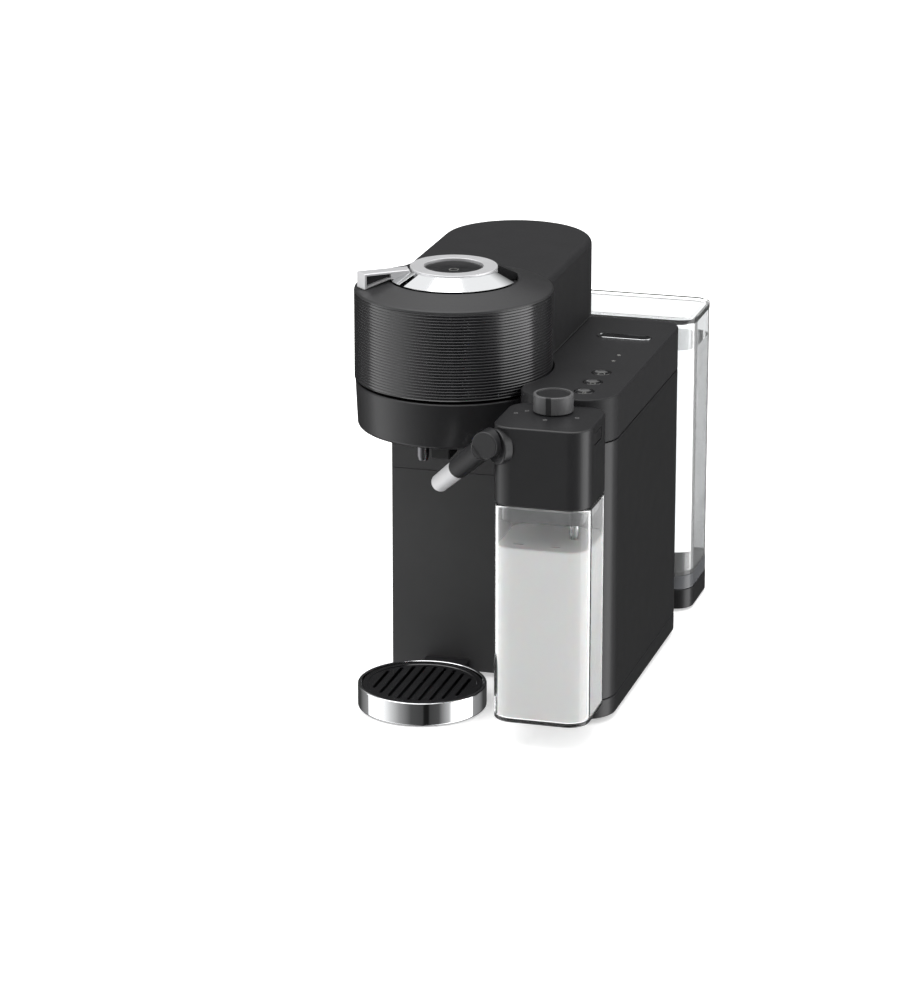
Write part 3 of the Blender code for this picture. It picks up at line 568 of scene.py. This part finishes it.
def lever():
    """Lever arm beside the dial, with an open pocket in its front side and a dark panel behind it."""
    side = [(LEVER_ROOT_R, 302.0), (46.5, 302.0), (LEVER_TIP_R, 295.2), (LEVER_TIP_R, 306.7),
            (LEVER_ROOT_R, 308.6)]
    arm = soften(bar("lever_arm", side, -5.5, 5.5, SATIN_CHROME), 0.8, 4)
    cut(arm, disc("dial", DIAL_R + 1.0, 290, 320))
    pocket = [(45.5, 303.4), (48.0, 303.0), (64.4, 297.5), (64.4, 305.2), (45.5, 306.2)]
    cut(arm, bar("pocket", pocket, 2.2, 9, DARK))
    place(arm, "lever", "chrome", "lock_lever")
    floor = [(45.7, 303.6), (48.0, 303.2), (64.2, 297.7), (64.2, 305.0), (45.7, 306.0)]
    place(bar("lever_pocket_panel", floor, 1.9, 2.5, DARK), "lever", "matte_black")


def start_button():
    """Dished disc inside the dial, with its round mark."""
    radius, edge = DIAL_BORE_R - 0.6, 0.6
    dish_r, dish_top, dish_depth = 17, 306.9, 1.1
    profile = [(0, 301.4), (radius, 301.4), (radius, 306.4)] + corner(radius - edge, 306.6, edge, 0)
    profile.append((17.6, 307.2))
    for r in (dish_r, 13, 9, 5):
        profile.append((r, dish_top - dish_depth * (1 - (r / dish_r) ** 2)))
    profile.append((0, 305.8))
    place(lathe("start_disc", profile, DISC), "start", "gloss_black", "start_button")
    mark = ring("start_mark", 2.9, 3.5, 305.6, 306.0, LAMP, steps=64)
    cut(mark, box("mark_gap", -0.9, 0.9, 1.5, 5, 300, 310))
    place(mark, "start", "light_window")
    place(box("start_mark_bar", -0.3, 0.3, 1.8, 4.4, 305.6, 306.0, LAMP), "start", "light_window")


# ---- cup base ----
def cup_base():
    """Chrome band, the drip tray inside it and the slotted grid on top."""
    centre = (CUP_X, CUP_Y)
    foot, rim = 1.6, 0.9
    band = [(43.3, 0.8), (44.0, 0.8)] + arc((BASE_R - foot, 2.6), foot, 290, 360, 6)
    band += corner(BASE_R - rim, BASE_TOP - rim, rim, 0) + [(43.6, BASE_TOP), (43.3, BASE_TOP - 0.3)]
    place(lathe("chrome_band", band, CHROME, centre, FINEST), "base", "chrome", "chrome_base")
    cup = [(0, 0), (42.2, 0), (42.6, 0.4), (42.9, 13.6), (40.5, 13.6), (40.2, 3.2), (39.4, 2.4), (0, 2.4)]
    place(lathe("drip_tray", cup, DARK, centre), "base", "matte_black", "drip_cup")

    plate = [(0, 14.2), (42.6, 14.2), (42.6, 16.8), (42.2, 17.2), (38.6, 17.2), (38.2, 16.8), (0, 16.8)]
    grid = lathe("slotted_grid", plate, GLOSS, centre)
    slots_each_side, pitch, half_slot, slotted_r = 4, 7.6, 1.3, 35.5
    for i in range(-slots_each_side, slots_each_side + 1):
        offset = pitch * i
        reach = math.sqrt(slotted_r ** 2 - offset ** 2)
        x = CUP_X + offset
        slot = rounded(x - half_slot, x + half_slot, CUP_Y - reach, CUP_Y + reach, (1.29,) * 4, 6)
        cut(grid, prism("slot", slot, 10, 20))
    place(grid, "grid", "gloss_black", "cup_grid")


# ---- milk carafe ----
def jug():
    """Clear jug, the milk in it and the two level lines on its front."""
    shell = soften(prism("jug_shell", jug_outline(), JUG_LOW.z, JUG_HIGH.z, CLEAR), 1.6, 4, 60)
    inside = soften(prism("inside", jug_outline(2.2), JUG_LOW.z + 2.4, 200, CLEAR), 1.6, 4, 60)
    cut(shell, inside)
    place(shell, "carafe", "clear", "milk_jug")
    milk = soften(prism("milk_fill", jug_outline(2.35), JUG_LOW.z + 2.55, MILK_TOP, MILK), 1.5, 4, 60)
    cut(milk, disc("tube_room", 3.7, 20, 160, centre=SUCTION_TUBE, steps=48))
    place(milk, "carafe", "white_plastic")
    front, low, high = JUG_LOW.y, MILK_TOP + 3.6, MILK_TOP + 4.0
    for name, x in (("fill_line_left", 78), ("fill_line_right", 104)):
        place(box(name, x, x + 7, front - 0.05, front + 0.15, low, high, MARK), "carafe", "white_plastic")


def spout_point(reach):
    """Point on the spout's axis, at a distance from the centre of the carafe's front left corner."""
    centre = Vector((JUG_LOW.x + JUG_R, JUG_LOW.y + JUG_R, SPOUT_Z))
    return centre + Vector((math.cos(SPOUT_TURN), math.sin(SPOUT_TURN), 0)) * reach


def carafe_lid():
    """Lid with the plug that reaches into the jug, the boss of the spout and the release button."""
    top = soften(prism("carafe_lid", jug_outline(), JUG_HIGH.z + GAP, CARAFE_TOP, SATIN), 1.4, 5, 60)
    join(top, prism("plug", jug_outline(5.5), JUG_HIGH.z - 11.5, JUG_HIGH.z + 2))
    cut(top, prism("inside", jug_outline(8.5), JUG_HIGH.z - 20, CARAFE_TOP - 5))
    port_r = 4.6
    cut(top, rod("port_hole", (PORT_X, -76, PORT_Z), (PORT_X, -60, PORT_Z), port_r))
    cut(top, box("port_slot", PORT_X - port_r, PORT_X + port_r, -76, -60, JUG_HIGH.z - 20, PORT_Z))
    cut(top, disc("stem_hole", 4.5, 220, 240, centre=(KNOB_X, KNOB_Y), steps=48))
    cut(top, box("button_pocket", 124.5, 140, -106.4, -87.6, 218.6, 227.4))
    join(top, rod("boss", spout_point(10), spout_point(17.2), 12.5, SATIN, 96, 1.0))
    join(top, rod("neck", spout_point(16), spout_point(18.7), 9.0, SATIN))
    place(top, "carafe_top", "matte_black", "carafe_head")
    for i, (x, y) in enumerate(((70, -92), (76, -85), (93.3, -102.8), (113, -92.2))):
        mark = ring(f"lid_mark_{i + 1}", 0.9, 1.5, CARAFE_TOP - 0.2, CARAFE_TOP + 0.05, MARK, (x, y), 32)
        place(mark, "carafe_top", "light_window")
    button = soften(box("lid_release", 125.6, 128.9, -106, -88, 219, 227, SATIN), 0.8, 4)
    place(button, "release", "matte_black", "carafe_button")


def knob():
    """Grey knob with a dark stripe at its front and a dark disc sunk in its top."""
    centre = (KNOB_X, KNOB_Y)
    bottom, front = CARAFE_TOP + 0.6, KNOB_Y - KNOB_R
    foot, rim = 0.6, 0.7
    profile = [(0, 229.5), (4, 229.5), (4, bottom)] + corner(KNOB_R - foot, bottom + foot, foot, 270)
    profile += corner(KNOB_R - rim, KNOB_TOP - rim, rim, 0) + [(11.9, KNOB_TOP), (11.6, KNOB_TOP - 1.6)]
    body = lathe("knob_body", profile + [(0, KNOB_TOP - 1.6)], KNOB_GREY, centre)
    cut(body, box("stripe_room", KNOB_X - 1.9, KNOB_X + 1.9, front - 1, front + 0.7, bottom - 1,
                  KNOB_TOP + 1))
    place(body, "knob", "dark_grey", "froth_knob")
    inlay = box("knob_stripe", KNOB_X - 1.7, KNOB_X + 1.7, front + 0.15, front + 0.9, bottom + 0.2,
                KNOB_TOP - 0.6, DARK)
    place(inlay, "knob", "matte_black")
    cap = [(0, KNOB_TOP - 1.2), (11.1, KNOB_TOP - 1.2), (11.1, KNOB_TOP - 0.8), (10.8, KNOB_TOP - 0.5),
           (0, KNOB_TOP - 0.5)]
    place(lathe("knob_disc", cap, SATIN, centre), "knob", "matte_black", "knob_cap")


def spout():
    """Barrel hub, the dark tube that leaves it and the bright nozzle at the tube's end."""
    hub = spout_point(27.5)
    way = (SPOUT_TIP - hub).normalized()
    length = (SPOUT_TIP - hub).length
    nozzle_from = length * 0.55
    facing = Vector((math.cos(HUB_TURN), math.sin(HUB_TURN), 0))
    arm = rod("spout_hub", HUB_CAP - facing * 15, HUB_CAP, 9.5, SATIN, 96, 0.9)
    join(arm, rod("tube", hub, hub + way * nozzle_from, (7.9, 7.4), SATIN, 96, 0.5))
    cut(arm, rod("swing_room", spout_point(-20), spout_point(19.2), 40))
    place(arm, "spout", "matte_black", "spout_arm")
    nozzle_root, nozzle_end = hub + way * (nozzle_from + GAP), hub + way * length
    nozzle = rod("bright_nozzle", nozzle_root, nozzle_end, (6.9, 6.3), SATIN_CHROME, 96, 0.4)
    cut(nozzle, rod("bore", hub + way * (length * 0.7), hub + way * (length + 5), 5.2))
    place(nozzle, "spout", "steel", "spout_nozzle")


# ---- water tank ----
def tank():
    """Clear tank with its water, foot band, lid and stand.

    Its clear pieces are left out of reflections, so that the dark walls beside it stay dark.
    """
    shell_inset, inside_inset, water_inset = 0.4, 2.8, 2.95
    body = tank_prism("tank_shell", shell_inset, COLLAR_TOP + GAP, TANK_TOP, TANK_CLEAR)
    cut(body, tank_prism("inside", inside_inset, COLLAR_TOP + 3, 260, TANK_CLEAR))
    cut(body, disc("valve_hole", 6.5, 10, 60, centre=VALVE, steps=64))
    body.visible_glossy = False
    place(soften(body, 0.4, 2, 60), "tank", "clear", "water_tank")

    water = tank_prism("tank_water", water_inset, COLLAR_TOP + 3.15, WATER_TOP, WATER)
    cut(water, disc("valve_room", 6.6, 10, 60, centre=VALVE, steps=64))
    water.visible_glossy = False
    place(water, "tank", "clear")

    collar = tank_prism("tank_foot_band", 0.2, STAND_TOP + GAP, COLLAR_TOP, SMOKY)
    cut(collar, disc("valve_room", 12, 0, 60, centre=VALVE, steps=64))
    place(soften(collar, 0.4, 3, 60), "tank", "frosted_grey", "tank_collar")

    lid = tank_prism("tank_cover", 0.2, TANK_TOP + GAP, TANK_LID_TOP, CLEAR)
    cut(lid, tank_prism("tray", 4.0, TANK_LID_TOP - 1.8, 240, CLEAR))
    lid.visible_glossy = False
    place(soften(lid, 0.5, 3, 60), "tank_top", "clear", "tank_lid")

    stand = tank_prism("tank_plinth", 0.0, 2.0, STAND_TOP, SATIN)
    soften(stand, 0.8, 3, 60)
    pipe_rear, pipe_front = (WATER_PIPE_X, 205, WATER_PIPE_Z), (WATER_PIPE_X, 184.5, WATER_PIPE_Z)
    join(stand, rod("water_stub", pipe_rear, pipe_front, 4.0))
    cut(stand, disc("valve_seat", 9, STAND_TOP - 6, 30, centre=VALVE, steps=64))
    place(stand, "machine", "matte_black", "tank_stand")


# ---- parts seen with the head or a cover open ----
def inner_turned():
    """Finely turned versions of the round inner parts, with the sizes of their CAD nodes."""
    low, high = 201.0, 207.0
    holder = [(0, 199.2), (22, 199.2), (22, low), (20, low), (20, high), (22, high), (30, 210), (36, 222),
              (40, 222), (40, 225.0), (39.4, 225.6), (32.6, 225.6), (32, 225), (26, 212), (0, 211)]
    place(lathe("spinning_holder", holder, DARK), "holder", "dark_grey", "capsule_holder")
    plate = [(7, 231), (65.4, 231), (65.8, 231.4), (65.8, 235), (7, 235)]
    place(lathe("brewing_plate", plate, DARK), "head", "dark_grey", "head_plate")
    seal = [(33.4, 228.6), (36.6, 228.6), (37, 229.2), (37, 230.6), (33, 230.6), (33, 229.2)]
    place(lathe("brewing_seal", seal, RUBBER), "head", "rubber", "head_seal")
    needle = [(0, 221), (2, 225), (2, 229), (6.4, 229), (6.4, 236.5), (0, 236.5)]
    place(lathe("needle", needle, BRUSHED, steps=64), "head", "steel", "pierce_needle")
    spindle = [(0, 238), (56, 238), (56, 241), (6, 241), (6, 297.0), (27, 297.0), (27, 304.1), (22, 304.1),
               (22, 299.2), (0, 299.2)]
    place(lathe("lock_spindle", spindle, DARK), "lever", "dark_grey", "lock_ring")


def feet():
    """Four round rubber feet."""
    for i in range(1, 5):
        low, high = design_box(f"rubber_foot_{i}")
        centre = ((low.x + high.x) / 2, (low.y + high.y) / 2)
        profile = [(0, 0.0), (6.6, 0.0)] + arc((7, 1), 1, 290, 360, 5) + [(8, 3.7), (0, 3.7)]
        place(lathe(f"foot_pad_{i}", profile, RUBBER, centre, 64), "machine", "rubber", f"rubber_foot_{i}")


def cad_looks():
    """Materials of the CAD nodes that are shown as they are."""
    looks = {"rubber": RUBBER, "steel": BRUSHED, "clear": CLEAR, "brass": BRASS, "board_green": BOARD,
             "light_window": LAMP, "white_plastic": WHITE_PLASTIC, "dark_grey": DARK, "matte_black": CHARCOAL,
             "chrome": CHROME, "gloss_black": GLOSS, "frosted_grey": SMOKY}
    for entry in frame["record"]["subparts"]:
        piece = frame["nodes"][entry["node"]]
        for slot in piece.material_slots:
            slot.material = looks[entry["material_slot"]]


# ---- stage, lights and camera ----
def stage():
    """Plain pale floor, which glows a little so that it stays as light as the background."""
    floor_look = surface("studio_floor", (0.93, 0.93, 0.93), 0.7, vary=0.004, patch=3,
                         Emission_Strength=FLOOR_GLOW, Emission_Color=(1, 1, 1, 1))
    mesh = bpy.data.meshes.new("studio_floor")
    corners = ((-1, -1), (1, -1), (1, 1), (-1, 1))
    mesh.from_pydata([(FLOOR_HALF * x, FLOOR_HALF * y, 0) for x, y in corners], [], [(0, 1, 2, 3)])
    floor = bpy.data.objects.new("studio_floor", mesh)
    bpy.context.scene.collection.objects.link(floor)
    mesh.materials.append(floor_look)
    floor.visible_glossy = False


def studio_world():
    """Surroundings as a ring of soft panels: bright at both sides, darker in front and behind.

    The ramp's colours end at 1, so each brightness is divided by PANEL_SCALE there, and the background's
    strength is multiplied by it.
    """
    world = bpy.data.worlds.new("studio")
    world.use_nodes = True
    bpy.context.scene.world = world
    nodes, links = world.node_tree.nodes, world.node_tree.links
    background = nodes["Background"]
    coordinates = nodes.new("ShaderNodeTexCoord")
    turn = nodes.new("ShaderNodeMapping")
    turn.inputs["Rotation"].default_value = (0, 0, PANEL_TURN)
    links.new(coordinates.outputs["Generated"], turn.inputs["Vector"])
    around = nodes.new("ShaderNodeTexGradient")
    around.gradient_type = "RADIAL"
    links.new(turn.outputs["Vector"], around.inputs["Vector"])
    panels = nodes.new("ShaderNodeValToRGB")
    panels.color_ramp.interpolation = "LINEAR"
    stops = panels.color_ramp.elements
    while len(stops) < len(PANELS):
        stops.new(0.5)
    for stop, (angle, brightness) in zip(stops, PANELS):
        stop.position = (angle + 180) / 360
        grey = brightness / PANEL_SCALE
        stop.color = (grey, grey, grey, 1)
    links.new(around.outputs["Fac"], panels.inputs["Fac"])

    height = nodes.new("ShaderNodeSeparateXYZ")
    links.new(coordinates.outputs["Generated"], height.inputs["Vector"])
    above = nodes.new("ShaderNodeMapRange")
    above.inputs["From Min"].default_value = PANEL_ENDS[0]
    above.inputs["From Max"].default_value = PANEL_ENDS[1]
    links.new(height.outputs["Z"], above.inputs["Value"])
    blend = nodes.new("ShaderNodeMix")
    blend.data_type = "RGBA"
    blend.inputs["B"].default_value = (ABOVE_PANELS, ABOVE_PANELS, ABOVE_PANELS, 1)
    links.new(above.outputs["Result"], blend.inputs["Factor"])
    links.new(panels.outputs["Color"], blend.inputs["A"])
    links.new(blend.outputs["Result"], background.inputs["Color"])
    background.inputs["Strength"].default_value = PANEL_SCALE * PANEL_STRENGTH


def overhead_light():
    """Very soft light from above, as from a large panel, even over the whole floor."""
    light = bpy.data.lights.new("overhead", "SUN")
    light.energy = 2.0
    light.angle = math.radians(70)
    holder = bpy.data.objects.new("overhead", light)
    holder.rotation_euler = (math.radians(8), math.radians(-10), 0)
    bpy.context.scene.collection.objects.link(holder)


def camera():
    lens = bpy.data.cameras.new("camera")
    lens.lens = LENS_LENGTH
    lens.sensor_width = SENSOR_WIDTH
    lens.clip_end = CLIP_END
    viewer = bpy.data.objects.new("camera", lens)
    viewer.location = CAMERA_PLACE
    viewer.rotation_euler = CAMERA_TURN
    bpy.context.scene.collection.objects.link(viewer)
    bpy.context.scene.camera = viewer


camera()
stage()
studio_world()
overhead_light()
bpy.context.scene.view_settings.view_transform = "Standard"

cad_looks()
column()
lower_ring()
coffee_outlet()
side_block()
cup_buttons()
head_arch()
head_shoulder()
fixed_collar()
rib_sleeve()
dial()
lever()
start_button()
cup_base()
jug()
carafe_lid()
knob()
spout()
tank()
inner_turned()
feet()
